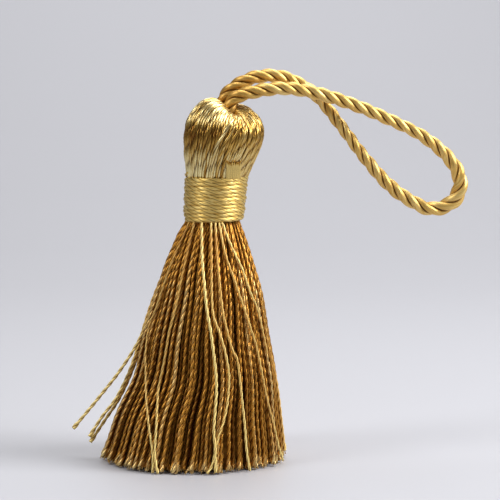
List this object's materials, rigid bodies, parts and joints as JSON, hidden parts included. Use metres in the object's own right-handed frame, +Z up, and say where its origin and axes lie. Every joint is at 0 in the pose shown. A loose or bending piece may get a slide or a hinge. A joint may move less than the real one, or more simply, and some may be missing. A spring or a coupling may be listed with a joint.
{
  "type": "silk tassel with hanging loop",
  "caption": "Silky thread tassel with a puffed head, a wrapped neck, an open skirt that stands on its cut ends, and a twisted cord loop.",
  "frame": {"origin": "on the floor, at the cut end of the strand in the middle of the skirt", "axes": "+Z up from the cut ends to the head, +X towards the side where the loop hangs, +Y away from the front"},
  "size_m": [0.0652, 0.0315, 0.0641],
  "materials": {
    "silky_thread": "lustrous two-ply twisted thread, antique gold",
    "silky_floss": "lustrous flat floss, antique gold",
    "silky_cord": "lustrous three-ply twisted cord, antique gold"
  },
  "bodies": {
    "root": {"head_and_skirt": "silky_thread", "neck_wrap": "silky_floss", "hanging_loop": "silky_cord"}
  },
  "joints": []
}
